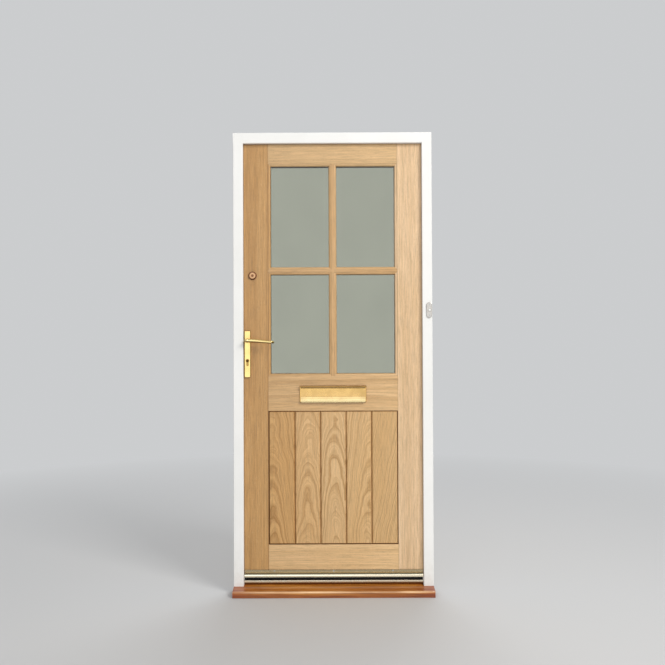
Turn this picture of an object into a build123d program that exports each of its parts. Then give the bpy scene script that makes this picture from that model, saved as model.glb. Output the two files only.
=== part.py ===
from build123d import *
import os
from math import hypot

# Entrance door set: oak leaf in a white timber frame, seen from outside along +Y.
# Millimetres. X runs from the lock side (-) to the hinge side (+), Y into the house, Z up.
# Origin: middle of the frame's width, at the outer face of the frame and the underside of the sill.

# Leaf
leaf_width = 838.0
leaf_height = 1981.0
leaf_thickness = 44.0
leaf_gap = 3.0

# Frame
stop_cover = 12.0
stop_depth = 18.0
seal_gap = 2.0
jamb_face = 45.0
head_face = 48.0
arris = 2.0
fixing_radius = 4.0
fixing_low = 300.0
fixing_drop = 192.0
fixing_shares = (0, 0.3125, 0.6875, 1)

# Sill and threshold
sill_reach = 55.0
nose_height = 26.0
nose_round = 5.0
sill_height = 38.0
drip_radius = 4.0
drip_setback = 12.0
threshold_height = 37.0
bar_foot = 8.5
bar_reach = 4.0
bar_nose_height = 19.5
bar_nose_width = 7.0
bar_nose_round = 2.5
bar_nose_arris = 1.0
bar_channel_height = 10.0
bar_upstand_depth = 14.0
bar_upstand_width = 12.0
bar_upstand_height = 16.0
bar_flange = 4.0
bar_wall = 3.0
bar_end_gap = 1.0
bar_screw_inset = 22.0
gasket_clearance = 0.3
gasket_inset = 1.5
seal_inset = 1.0

# Rails and glazing
stile_width = 124.0
sticking = 12.0
sticking_quirk = 1.5
sticking_radius = 8.5
bottom_rail_height = 143.0
panel_height = 607.0
mid_rail_height = 170.0
top_rail_height = 114.0
bar_face = 35.0
bar_drop = 5.0
tenon_setback = 54.0
tenon_thickness = 14.0
tenon_shoulder = 16.0
unit_thickness = 24.0
pane_thickness = 4.0
unit_clearance = 1.0
spacer_width = 8.0
bead_bevel = 5.0
bead_quirk = 3.0

# Panel of boards
board_thickness = 36.0
board_count = 5
board_edge = 3.75
board_bevel = 6.0
tongue_length = 8.0
tongue_thickness = 10.0
groove_clearance = 0.2

# Hinges
hinge_height = 100.0
hinge_metal = 3.0
hinge_width = 30.0
knuckle_radius = 5.5
knuckle_offset = 6.0
knuckle_gap = 0.3
pin_radius = 2.5
running_clearance = 0.05
hinge_low = 225.0
hinge_drop = 151.0
hinge_screw_rise = 35.0
hinge_screw_stagger = 4.0
hinge_plate_back = 2.0
pin_end = 1.0
pin_round = 0.8
leaf_knuckles = (1, 3)

# Handle set
backset = 30.0
spindle_above_middle = 80.5
cylinder_drop = 92.0
plate_width = 27.0
plate_above = 44.0
plate_below = 168.0
plate_thickness = 9.0
plate_corner = 5.0
plate_edge = 2.0
plate_hole_clearance = 0.2
neck_radius = 8.7
neck_clearance = 0.3
lever_axis = 47.0
lever_length = 114.0
lever_drop = 8.0
lever_tip_round = 3.0
# share of the length and of the drop, half depth, half height
lever_sections = ((0, 0, 7.5, 8.4), (0.35, 0.2, 6.8, 8.0), (0.7, 0.65, 6.2, 7.0), (1, 1, 5.5, 6.0))
spindle_side = 8.0
spindle_room = 0.5
spindle_grip = 30.0

# Cylinder
barrel_radius = 8.5
barrel_leg = 10.0
barrel_height = 33.0
barrel_proud = 2.0
barrel_clearance = 0.1
barrel_stile_clearance = 0.5
plug_radius = 6.5
keyway_width = 2.0
keyway_height = 8.0
keyway_depth = 6.0
cam_gap = 10.0
cam_radius = 15.5
cam_side_clearance = 0.4
cam_bridge = 8.0
cam_half = 4.0
cam_room = 20.0
cam_clearance = 1.0

# Lock
strip_width = 20.0
strip_metal = 3.0
strip_end = 115.0
strip_screw_inset = 30.0
strip_screw_spacing = 100.0
case_depth = 42.0
case_thickness = 15.0
case_margin = 55.0
case_clearance = 0.5
case_wall = 6.0
bolt_clearance = 0.3
bolt_setback = 0.3
bolt_thickness = 12.0
bolt_length = 36.0
bolt_end_room = 1.0
bolt_nose = 3.0
bolt_arris = 1.0
latch_height = 18.0
latch_rise = 26.0
latch_bevel = 10.0
latch_throw = 12.0
dead_height = 32.0
dead_rise = 40.0
dead_throw = 20.0
hook_low = 330.0
hook_drop = 221.0
hook_case_below = 50.0
hook_case_above = 22.0
hook_inset = 16.0
hook_reach = 34.0
hook_half = 6.0
hook_nib = 7.0
hook_nib_length = 10.0
hook_thickness = 8.0
hook_pin_radius = 3.5
hook_eye = 1.5
hook_round = 3.0
hook_top_room = 1.0
pocket_room = 3.0
pocket_side = 1.5

# Nightlatch
rim_inset = 53.0
rim_above_middle = 376.5
rim_face_radius = 13.5
rim_ring_radius = 18.0
rim_ring_proud = 8.0
rim_ring_round = 4.0
rim_hole_clearance = 1.0
tail_width = 9.0
tail_thickness = 2.0
night_width = 92.0
night_height = 64.0
night_depth = 30.0
night_round = 4.0
night_wall = 3.0
night_setback = 1.0
night_bolt_height = 20.0
night_bolt_thickness = 14.0
night_bolt_throw = 15.0
night_bolt_length = 36.0
night_bolt_room = 2.0
night_bore_depth = 2.0
knob_radius = 15.0
knob_height = 7.0
knob_stem_radius = 6.0
knob_gap = 0.5
knob_round = 2.0
knob_stem_depth = 8.0
knob_wing = 9.0
knob_wing_width = 6.0
knob_wing_reach = 12.0
knob_wing_round = 4.0
snib_inset = 22.0
snib_rise = 20.0
snib_travel = 6.0
snib_size = 8.0
snib_cap = 4.0
snib_gap = 0.2
snib_round = 1.5
snib_stem = 4.0
keep_width = 28.0
keep_inset = 1.0

# Letter plate
letter_rise = 76.0
letter_slot_width = 264.0
letter_slot_height = 42.0
letter_end_border = 19.0
letter_long_border = 16.5
letter_metal = 5.0
letter_corner = 5.0
sleeve_wall = 2.0
letter_ear = 3.5
letter_ear_drop = 2.0
letter_hood = 5.0
letter_hood_reach = 13.0
flap_gap = 0.3
flap_metal = 3.5
flap_hinge_drop = 9.0
flap_barrel_radius = 2.8
flap_pin_radius = 1.5
flap_pin_reach = 2.0
flap_pin_cover = 1.0
flap_step = 10.0
flap_bead = 0.8
flap_flare = 5.0
flap_bow = 1.2
flap_edge = 2.5
flap_lift = 1.0

# Rain deflector
deflector_height = 29.0
deflector_reach = 20.0
deflector_metal = 2.0
deflector_nose = 18.0
deflector_lip = 6.0
deflector_lift = 1.0
deflector_end_gap = 3.0
deflector_screw_share = 2 / 3
deflector_screw_drop = 5.5

# Bell push
bell_offset = 31.0
bell_level = 1207.0
bell_height = 70.0
bell_width = 25.0
bell_thickness = 6.0
bell_round = 2.5
bell_end_flat = 0.5
bell_collar_width = 2.5
bell_collar_proud = 1.5
bell_collar_round = 1.0
bell_button_radius = 6.0
bell_button_gap = 0.3
bell_button_proud = 3.0
bell_travel = 2.5
bell_button_depth = 10.0
bell_button_round = 2.5
bell_button_room = 1.0
bell_screw_pitch = 50.0

# Screws
head_radius = 4.0
shank_radius = 2.0
screw_length = 25.0

# Worked out from the sizes above
leaf_half = leaf_width / 2
leaf_front = stop_depth + seal_gap
leaf_back = leaf_front + leaf_thickness
leaf_middle = (leaf_front + leaf_back) / 2
leaf_bottom = sill_height + threshold_height
leaf_top = leaf_bottom + leaf_height
rebate_half = leaf_half + leaf_gap
stop_half = leaf_half - stop_cover
frame_half = stop_half + jamb_face
stop_top = leaf_top - stop_cover
rebate_top = leaf_top + leaf_gap
frame_top = stop_top + head_face
panel_half = leaf_half - stile_width
daylight_half = panel_half - sticking
tenon_length = stile_width - tenon_setback
board_cover = 2 * (panel_half - board_edge) / board_count
panel_bottom = leaf_bottom + bottom_rail_height
panel_top = panel_bottom + panel_height
daylight_bottom = panel_top + mid_rail_height
daylight_top = leaf_top - top_rail_height
bar_level = (daylight_bottom + daylight_top) / 2 - bar_drop
bar_half = bar_face / 2
glass_front = leaf_front + sticking_quirk + sticking_radius
glass_back = glass_front + unit_thickness
leaf_centre = (leaf_bottom + leaf_top) / 2
spindle_z = leaf_centre + spindle_above_middle
cylinder_z = spindle_z - cylinder_drop
lock_x = backset - leaf_half
rim_x = rim_inset - leaf_half
rim_z = leaf_centre + rim_above_middle
letter_z = panel_top + letter_rise
letter_width = letter_slot_width + 2 * letter_end_border
letter_height = letter_slot_height + 2 * letter_long_border
bell_x = stop_half + bell_offset
bell_z = leaf_bottom + bell_level
pin_x = leaf_half + leaf_gap / 2
pin_y = leaf_back + knuckle_offset
hook_x = hook_inset - leaf_half
strip_back = strip_metal - leaf_half
case_back = strip_back + case_depth
latch_z = spindle_z + latch_rise
dead_z = cylinder_z + dead_rise
bolt_front = bolt_setback - leaf_half
hinge_levels = (hinge_low, (hinge_low + leaf_height - hinge_drop) / 2, leaf_height - hinge_drop)
hook_levels = (hook_low, leaf_height - hook_drop)
fixing_span = frame_top - fixing_drop - fixing_low
fixing_levels = [fixing_low + share * fixing_span for share in fixing_shares]


def box(x0, x1, y0, y1, z0, z1):
    middle = Pos((x0 + x1) / 2, (y0 + y1) / 2, (z0 + z1) / 2)
    return middle * Box(x1 - x0, y1 - y0, z1 - z0)


def outline(*edges):
    return make_face(Wire(edges))


def polygon(*points):
    return make_face(Polyline(*points, close=True))


# Extrusions of a flat outline: drawn in Y and Z along X, in X and Z along Y, in X and Y along Z
def alongX(face, start, end):
    return extrude(Plane.YZ.offset(start) * face, end - start)


def alongY(face, start, end):
    return extrude(Plane.XZ.offset(-start) * face, start - end)


def alongZ(face, start, end):
    return extrude(Plane.XY.offset(start) * face, end - start)


def rodX(y, z, radius, start, end):
    return Plane.YZ.offset(start) * Pos(y, z, (end - start) / 2) * Cylinder(radius, end - start)


def rodY(x, z, radius, start, end):
    return Plane.XZ.offset(-end) * Pos(x, z, (end - start) / 2) * Cylinder(radius, end - start)


def rodZ(x, y, radius, start, end):
    return Pos(x, y, (start + end) / 2) * Cylinder(radius, end - start)


def screw(x, y, z, direction, length=screw_length):
    head = head_radius - shank_radius
    low = (Align.CENTER, Align.CENTER, Align.MIN)
    body = Cone(head_radius, shank_radius, head, align=low)
    body += Pos(0, 0, head) * Cylinder(shank_radius, length - head, align=low)
    return Plane(origin=(x, y, z), z_dir=direction) * body


def together(solids):
    return Compound(children=[s.solid() for s in solids])


def turned(shape):
    # the same piece on the inside of the leaf, turned about the leaf's upright middle line
    return Pos(0, leaf_middle, 0) * Rot(0, 0, 180) * Pos(0, -leaf_middle, 0) * shape


def reflected(shape):
    return mirror(shape, Plane.XZ.offset(-leaf_middle))


# Frame

def makeSill():
    back = leaf_back
    front = -sill_reach
    points = [(front, 0), (front, nose_height), (leaf_front, sill_height), (back, sill_height), (back, 0)]
    sill = alongX(polygon(*points), -frame_half, frame_half)
    nose = sill.edges().filter_by(Axis.X).sort_by(Axis.Y)[:2]
    sill = fillet(nose.sort_by(Axis.Z)[-1], nose_round)
    return sill - rodX(front + drip_setback, 0, drip_radius, -frame_half - 1, frame_half + 1)


def jambOutline(side):
    s = stop_half
    points = [(s + arris, 0), (s, arris), (s, stop_depth), (rebate_half, stop_depth)]
    points += [(rebate_half, leaf_back), (frame_half, leaf_back), (frame_half, arris)]
    points.append((frame_half - arris, 0))
    return polygon(*[(side * x, y) for x, y in points])


def headOutline():
    s = stop_top
    points = [(0, s + arris), (arris, s), (stop_depth, s), (stop_depth, rebate_top)]
    points += [(leaf_back, rebate_top), (leaf_back, frame_top), (arris, frame_top), (0, frame_top - arris)]
    return polygon(*points)


def laminated(member):
    # jambs and head are glued up from two lengths, the outer one as deep as the stop
    return Compound(children=split(member, Plane.XZ.offset(-stop_depth), keep=Keep.BOTH).solids())


def fixings(side):
    ends = sorted((side * (stop_half - 1), side * (frame_half + 1)))
    holes = [rodX(stop_depth / 2, z, fixing_radius, *ends) for z in fixing_levels]
    return holes[0] + holes[1:]


def makeSeals():
    # strips on the back of the stops, along both jambs and the head
    back = leaf_front - gasket_clearance
    outer = rebate_half - leaf_gap / 2 - seal_inset
    inner = stop_half + seal_inset
    low = sill_height
    sides = [box(*span, stop_depth, back, low, stop_top) for span in ((-outer, -inner), (inner, outer))]
    level = stop_top + seal_inset
    top = box(-outer, outer, stop_depth, back, level, level + outer - inner)
    return sides + [top]


def thresholdSection():
    # nose over a set back foot, channel for the water, upstand with the gasket, flange under the leaf
    base, front = sill_height, leaf_front - bar_reach
    foot, nose, channel = base + bar_foot, base + bar_nose_height, base + bar_channel_height
    top, flange = base + bar_upstand_height, base + bar_flange
    nose_back = front + bar_nose_width
    rise = leaf_front + bar_upstand_depth
    back = rise + bar_upstand_width
    points = [(leaf_front, base), (leaf_front, foot), (front, foot), (front, nose), (nose_back, nose)]
    points += [(nose_back, channel), (rise, channel), (rise, top), (back, top), (back, flange)]
    outer = polygon(*points, (leaf_back, flange), (leaf_back, base))
    for end, radius in ((1, bar_nose_round), (0, bar_nose_arris)):
        corner = outer.vertices().sort_by(Axis.X)[:2].sort_by(Axis.Y)[end]
        outer = fillet(corner, radius)
    w = bar_wall
    points = [(leaf_front + w, base), (leaf_front + w, channel - w), (rise + w, channel - w)]
    return outer - polygon(*points, (rise + w, top - w), (back - w, top - w), (back - w, base))


def makeGasket():
    middle = leaf_front + bar_upstand_depth + bar_upstand_width / 2
    low = sill_height + bar_upstand_height
    high = leaf_bottom - gasket_clearance
    half = bar_upstand_width / 2 - gasket_inset
    shoulder = high - half
    a, b = (middle - half, low), (middle + half, low)
    c, d = (middle + half, shoulder), (middle - half, shoulder)
    face = outline(Line(a, b), Line(b, c), ThreePointArc(c, (middle, high), d), Line(d, a))
    return alongX(face, -stop_half, stop_half)


def thresholdScrews():
    y = leaf_front + (bar_upstand_depth + bar_nose_width - bar_reach) / 2
    z = sill_height + bar_channel_height
    end = stop_half - bar_screw_inset
    return [screw(x, y, z, (0, 0, -1)) for x in (-end, 0, end)]


# Hinges: five knuckles, the frame leaf has the first, third and fifth

def knuckleSpans(z):
    step = hinge_height / 5
    low = z - hinge_height / 2
    return [(low + i * step + knuckle_gap / 2, low + (i + 1) * step - knuckle_gap / 2) for i in range(5)]


def hingeLeaf(z, side):
    # side 1 is the jamb's leaf, side -1 the door's
    half = hinge_height / 2
    inner = pin_x + side * leaf_gap / 2
    ends = sorted((inner, inner + side * hinge_metal))
    plate = box(*ends, leaf_back - hinge_width, pin_y - hinge_plate_back, z - half, z + half)
    mine = [s for i, s in enumerate(knuckleSpans(z)) if (i in leaf_knuckles) == (side < 0)]
    others = [s for i, s in enumerate(knuckleSpans(z)) if (i in leaf_knuckles) == (side > 0)]
    for low, high in others:
        plate -= rodZ(pin_x, pin_y, knuckle_radius + knuckle_gap, low - knuckle_gap, high + knuckle_gap)
    for low, high in mine:
        plate += rodZ(pin_x, pin_y, knuckle_radius, low, high)
    bore = pin_radius + (running_clearance if side < 0 else 0)
    return plate - rodZ(pin_x, pin_y, bore, z - half - 1, z + half + 1)


def hingeScrews(z, side):
    y = leaf_back - hinge_width / 2
    inner = pin_x + side * leaf_gap / 2
    rise, stagger = hinge_screw_rise, hinge_screw_stagger
    places = ((-rise, -stagger), (0, stagger), (rise, -stagger))
    return [screw(inner, y + dy, z + dz, (side, 0, 0)) for dz, dy in places]


def hingePin(z):
    half = hinge_height / 2
    pin = rodZ(pin_x, pin_y, pin_radius, z - half - pin_end, z + half + pin_end)
    return fillet(pin.edges().filter_by(GeomType.CIRCLE), pin_round)


# Lock, its keeps and what they cut

def strikeOpenings(room):
    # openings for latch, dead bolt and hooks as (low, high) along Z, wider by room
    spans = [(latch_z - latch_height / 2, latch_z + latch_height / 2)]
    spans.append((dead_z - dead_height / 2, dead_z + dead_height / 2))
    sweep = hypot(hook_reach, hook_half + hook_nib)
    spans += [(leaf_bottom + z - sweep, leaf_bottom + z + hook_half + hook_top_room) for z in hook_levels]
    return [(low - room, high + room) for low, high in spans]


def strikePockets():
    # hollows in the jamb behind the keep strip, one for each bolt
    half = bolt_thickness / 2 + pocket_side
    depths = (latch_throw, dead_throw, hook_reach - hook_inset, hook_reach - hook_inset)
    pockets = []
    for (low, high), depth in zip(strikeOpenings(pocket_side), depths):
        deep = -leaf_half - depth - pocket_room
        tall = high + (hook_nib if depth == depths[2] else 0)
        pockets.append(box(deep, -rebate_half, leaf_middle - half, leaf_middle + half, low, tall))
    return pockets


def makeKeepStrip():
    half = strip_width / 2
    low, high = leaf_bottom + strip_end, leaf_top - strip_end
    faces = (-rebate_half - strip_metal, -rebate_half)
    strip = box(*faces, leaf_middle - half, leaf_middle + half, low, high)
    side = bolt_thickness / 2 + pocket_side
    for z0, z1 in strikeOpenings(pocket_side):
        strip -= box(*faces, leaf_middle - side, leaf_middle + side, z0, z1)
    return strip


def makeLockStrip():
    half = strip_width / 2
    low, high = leaf_bottom + strip_end, leaf_top - strip_end
    strip = box(-leaf_half, strip_back, leaf_middle - half, leaf_middle + half, low, high)
    side = bolt_thickness / 2 + bolt_clearance
    for z0, z1 in strikeOpenings(bolt_clearance):
        strip -= box(-leaf_half, strip_back, leaf_middle - side, leaf_middle + side, z0, z1)
    return strip


def caseBlocks(grow=0.0):
    half = case_thickness / 2 + grow
    spans = [(cylinder_z - case_margin, spindle_z + case_margin)]
    for z in hook_levels:
        spans.append((leaf_bottom + z - hook_case_below, leaf_bottom + z + hook_case_above))
    faces = (strip_back, case_back + grow, leaf_middle - half, leaf_middle + half)
    return [box(*faces, low - grow, high + grow) for low, high in spans]


def makeLockCases():
    centre, lower, upper = caseBlocks()
    side = bolt_thickness / 2 + bolt_clearance
    for z, height in ((latch_z, latch_height), (dead_z, dead_height)):
        half = height / 2 + bolt_clearance
        end = bolt_front + bolt_length + bolt_end_room
        centre -= box(strip_back, end, leaf_middle - side, leaf_middle + side, z - half, z + half)
    corner = spindle_side / 2 ** 0.5
    centre -= rodY(lock_x, spindle_z, corner + spindle_room, leaf_front, leaf_back)
    centre -= cylinderProfile(leaf_front, leaf_back, barrel_clearance)
    gap = cam_gap / 2
    centre -= rodY(lock_x, cylinder_z, cam_radius + cam_clearance, leaf_middle - gap, leaf_middle + gap)
    cases = [centre]
    slot = hook_thickness / 2 + bolt_clearance
    for case, z in zip((lower, upper), hook_levels):
        z += leaf_bottom
        pin = rodY(hook_x, z, hook_pin_radius, leaf_middle - slot, leaf_middle + slot)
        low, high = z - hook_case_below + case_wall, z + hook_case_above - case_wall
        room = box(strip_back, case_back - case_wall, leaf_middle - slot, leaf_middle + slot, low, high)
        cases.append(case - (room - pin))
    return cases


def boltSection(nose, tail, y, half):
    # bevelled on the side that meets the keep when the door closes
    points = [(nose, y + half), (tail, y + half), (tail, y - half), (nose + latch_bevel, y - half)]
    return polygon(*points, (nose, y + half - bolt_nose))


def makeLatchBolt():
    half = bolt_thickness / 2
    nose, tail = bolt_front, bolt_front + bolt_length
    face = boltSection(nose, tail, leaf_middle, half)
    return alongZ(face, latch_z - latch_height / 2, latch_z + latch_height / 2)


def makeDeadBolt():
    half = bolt_thickness / 2
    span = (dead_z - dead_height / 2, dead_z + dead_height / 2)
    bolt = box(bolt_front, bolt_front + bolt_length, leaf_middle - half, leaf_middle + half, *span)
    return chamfer(bolt.faces().sort_by(Axis.X)[0].edges(), bolt_arris)


def makeHook(z):
    # hangs from its pin at rest, with the nib towards the lock strip
    z += leaf_bottom
    x = hook_x
    low = z - hook_reach
    faces = (leaf_middle - hook_thickness / 2, leaf_middle + hook_thickness / 2)
    arm = box(x - hook_half, x + hook_half, *faces, low, z)
    nib = arm & box(x - hook_half, x + hook_half, 0, leaf_back, low, low + hook_nib_length)
    arm += Pos(-hook_nib, 0, 0) * nib
    arm = fillet(arm.edges().filter_by(Axis.Y).group_by(Axis.Z)[0], hook_round)
    arm += rodY(x, z, hook_half + hook_eye, *faces)
    return arm - rodY(x, z, hook_pin_radius + running_clearance, 0, leaf_back)


# Handle set and cylinder, outside half; the inner pieces are mirrored

def cylinderProfile(start, end, grow):
    half = barrel_leg / 2 + grow
    radius = barrel_radius + grow
    bottom = cylinder_z + barrel_radius - barrel_height
    leg = box(lock_x - half, lock_x + half, start, end, bottom + half, cylinder_z)
    foot = rodY(lock_x, bottom + half, half, start, end)
    return rodY(lock_x, cylinder_z, radius, start, end) + leg + foot


def makeCylinderBody():
    start = leaf_front - plate_thickness - barrel_proud
    end = leaf_back + plate_thickness + barrel_proud
    body = cylinderProfile(start, end, 0)
    body -= rodY(lock_x, cylinder_z, plug_radius + running_clearance, start, end)
    half = cam_gap / 2
    bottom = cylinder_z + barrel_radius - barrel_height
    left, right, high = lock_x - cam_room, lock_x + cam_room, cylinder_z + cam_room
    return body - box(left, right, leaf_middle - half, leaf_middle + half, bottom + cam_bridge, high)


def makeCylinderPlug():
    start = leaf_front - plate_thickness - barrel_proud
    end = leaf_back + plate_thickness + barrel_proud
    plug = rodY(lock_x, cylinder_z, plug_radius, start, end)
    half = cam_gap / 2 - cam_side_clearance
    cam = rodY(lock_x, cylinder_z, cam_radius, leaf_middle - half, leaf_middle + half)
    cam &= box(lock_x - cam_half, lock_x + cam_half, 0, leaf_back, cylinder_z, cylinder_z + cam_room)
    cam += rodY(lock_x, cylinder_z, barrel_radius, leaf_middle - half, leaf_middle + half)
    plug += cam
    side = keyway_width / 2
    low = cylinder_z - plug_radius
    for face, back in ((start, start + keyway_depth), (end - keyway_depth, end)):
        plug -= box(lock_x - side, lock_x + side, face, back, low, low + keyway_height)
    return plug


def makeBackplate():
    low, high = spindle_z - plate_below, spindle_z + plate_above
    front = leaf_front - plate_thickness
    plate = box(lock_x - plate_width / 2, lock_x + plate_width / 2, front, leaf_front, low, high)
    plate = fillet(plate.edges().filter_by(Axis.Y).group_by(Axis.Z)[0], plate_corner)
    plate = fillet(plate.faces().sort_by(Axis.Y)[0].edges(), plate_edge)
    plate -= rodY(lock_x, spindle_z, neck_radius + neck_clearance, front - 1, leaf_front)
    return plate - cylinderProfile(front - 1, leaf_front, plate_hole_clearance)


def gripSection(along, drop, half_depth, half_height, y):
    plane = Plane(origin=(lock_x + along, y, spindle_z - drop), x_dir=(0, 1, 0), z_dir=(1, 0, 0))
    return plane * Ellipse(half_depth, half_height)


def makeLever():
    y = leaf_front - lever_axis
    neck = rodY(lock_x, spindle_z, neck_radius, y, leaf_front)
    neck += Pos(lock_x, y, spindle_z) * Sphere(neck_radius)
    sections = []
    for along, drop, half_depth, half_height in lever_sections:
        sections.append(gripSection(along * lever_length, drop * lever_drop, half_depth, half_height, y))
    grip = loft(sections)
    grip = fillet(grip.faces().sort_by(Axis.X)[-1].edges(), lever_tip_round)
    return neck + grip - squareRod(spindleEnd(), leaf_front)


def spindleEnd():
    return leaf_front - spindle_grip


def squareRod(start, end):
    half = spindle_side / 2
    return box(lock_x - half, lock_x + half, start, end, spindle_z - half, spindle_z + half)


def makeSpindle():
    return squareRod(spindleEnd(), 2 * leaf_middle - spindleEnd())


# Nightlatch

def makeRimRing():
    front = leaf_front - rim_ring_proud
    ring = rodY(rim_x, rim_z, rim_ring_radius, front, leaf_front)
    ring = fillet(ring.edges().filter_by(GeomType.CIRCLE).sort_by(Axis.Y)[0], rim_ring_round)
    return ring - rodY(rim_x, rim_z, rim_face_radius, front - 1, leaf_front)


def makeRimBody():
    front = leaf_front - rim_ring_proud
    body = rodY(rim_x, rim_z, rim_face_radius, front, leaf_back)
    return body - rodY(rim_x, rim_z, plug_radius + running_clearance, front, leaf_back)


def makeRimPlug():
    front = leaf_front - rim_ring_proud
    plug = rodY(rim_x, rim_z, plug_radius, front, leaf_middle)
    side, half = keyway_width / 2, keyway_height / 2
    plug -= box(rim_x - side, rim_x + side, front, front + keyway_depth, rim_z - half, rim_z + half)
    side, half = tail_thickness / 2, tail_width / 2
    end = leaf_back + night_depth / 2
    return plug + box(rim_x - side, rim_x + side, leaf_middle, end, rim_z - half, rim_z + half)


def nightSpan():
    start = night_setback - leaf_half
    return start, start + night_width


def makeNightCase():
    x0, x1 = nightSpan()
    half = night_height / 2
    back = leaf_back + night_depth
    case = box(x0, x1, leaf_back, back, rim_z - half, rim_z + half)
    case = fillet(case.faces().sort_by(Axis.Y)[-1].edges(), night_round)
    bolt_half = night_bolt_height / 2 + bolt_clearance
    y = leaf_back + night_depth / 2
    side = night_bolt_thickness / 2 + bolt_clearance
    end = x0 + night_bolt_length + night_bolt_room
    case -= box(x0, end, y - side, y + side, rim_z - bolt_half, rim_z + bolt_half)
    bore_end = y + night_bore_depth
    case -= rodY(rim_x, rim_z, plug_radius, leaf_back, bore_end)
    case -= rodY(rim_x, rim_z, knob_stem_radius + neck_clearance, bore_end, back)
    slot = snib_stem / 2 + bolt_clearance
    sx, sz = snibPlace()
    start = back - night_wall - night_bore_depth
    return case - box(sx - slot, sx + snib_travel + slot, start, back, sz - slot, sz + slot)


def snibPlace():
    x0, x1 = nightSpan()
    return x0 + snib_inset, rim_z + snib_rise


def makeSnib():
    sx, sz = snibPlace()
    back = leaf_back + night_depth
    half, stem = snib_size / 2, snib_stem / 2
    face = back + snib_gap
    cap = box(sx - half, sx + half, face, back + snib_cap, sz - half, sz + half)
    cap = fillet(cap.edges().filter_by(Axis.Y), snib_round)
    return cap + box(sx - stem, sx + stem, back - night_wall, face, sz - stem, sz + stem)


def makeNightBolt():
    x0 = nightSpan()[0] + bolt_setback
    y = leaf_back + night_depth / 2
    side = night_bolt_thickness / 2
    face = boltSection(x0, x0 + night_bolt_length, y, side)
    return alongZ(face, rim_z - night_bolt_height / 2, rim_z + night_bolt_height / 2)


def makeKnob():
    back = leaf_back + night_depth
    face = back + knob_height
    knob = rodY(rim_x, rim_z, knob_radius, back + knob_gap, face)
    knob = fillet(knob.edges().filter_by(GeomType.CIRCLE).sort_by(Axis.Y)[-1], knob_round)
    stem = rodY(rim_x, rim_z, knob_stem_radius, back - knob_stem_depth, back + knob_gap)
    side, reach = knob_wing_width / 2, knob_wing_reach
    wing = box(rim_x - side, rim_x + side, face, face + knob_wing, rim_z - reach, rim_z + reach)
    wing = fillet(wing.edges().filter_by(Axis.X).group_by(Axis.Y)[-1], knob_wing_round)
    return knob + stem + wing


def makeNightKeep():
    half = night_height / 2
    x1 = -rebate_half - keep_inset
    y = leaf_back + night_depth / 2
    keep = box(x1 - keep_width, x1, leaf_back, leaf_back + night_depth, rim_z - half, rim_z + half)
    keep = fillet(keep.faces().sort_by(Axis.Y)[-1].edges(), night_round)
    side = night_bolt_thickness / 2 + pocket_side
    tall = night_bolt_height / 2 + pocket_side
    deep = x1 - night_bolt_throw - pocket_room
    return keep - box(deep, x1, y - side, y + side, rim_z - tall, rim_z + tall)


# Letter plate, outer half; the inner half is the same piece turned round

def letterOutline(half_width, low, high):
    face = polygon((-half_width, low), (half_width, low), (half_width, high), (-half_width, high))
    return fillet(face.vertices().sort_by(Axis.Y)[:2], letter_corner)


def flapAxis():
    z = letter_z + letter_height / 2 - flap_hinge_drop
    return leaf_front - letter_metal - flap_gap - flap_metal, z


def makeLetterFrame():
    half = letter_height / 2
    wide = letter_width / 2
    front = leaf_front - letter_metal
    plate = alongY(letterOutline(wide, letter_z - half, letter_z + half), front, leaf_front)
    slot = (letter_slot_width / 2, letter_slot_height / 2)
    plate -= box(-slot[0], slot[0], front, leaf_front, letter_z - slot[1], letter_z + slot[1])
    reach = leaf_front - letter_hood_reach
    top = letter_z + half
    plate += box(-wide, wide, reach, front, top - letter_hood, top)
    y, z = flapAxis()
    for side in (-1, 1):
        ends = sorted((side * wide, side * (wide - letter_ear)))
        low = z - flap_barrel_radius - letter_ear_drop
        plate += box(*ends, reach, front, low, top - letter_hood)
    pin = flap_pin_radius + running_clearance
    return plate - rodX(y, z, pin, flap_pin_cover - wide, wide - flap_pin_cover)


def makeFlap():
    y, z = flapAxis()
    back = leaf_front - letter_metal - flap_gap
    half = letter_height / 2
    low = letter_z - half + flap_lift
    step = letter_z - flap_step
    tip = y - flap_flare
    a, b = (back, z), (y, z)
    c, d = (y, step), (y - flap_bead, step - flap_bead)
    e, f, g = (tip, low + flap_edge), (tip, low), (back, low)
    flare = ThreePointArc(d, ((d[0] + tip) / 2 + flap_bow, (d[1] + e[1]) / 2), e)
    face = outline(Line(a, b), Line(b, c), Line(c, d), flare, Line(e, f), Line(f, g), Line(g, a))
    wide = letter_width / 2 - letter_ear - flap_gap
    flap = alongX(face, -wide, wide)
    flap &= alongY(letterOutline(wide, low, letter_z + half), -leaf_front, back)
    flap += rodX(y, z, flap_barrel_radius, -wide, wide)
    reach = wide + flap_pin_reach
    return flap + rodX(y, z, flap_pin_radius, -reach, reach)


def makeSleeve():
    w, h = letter_slot_width / 2, letter_slot_height / 2
    return letterHole(w + sleeve_wall, h + sleeve_wall) - letterHole(w, h)


def letterHole(w, h):
    return box(-w, w, leaf_front, leaf_back, letter_z - h, letter_z + h)


# Leaf

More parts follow.
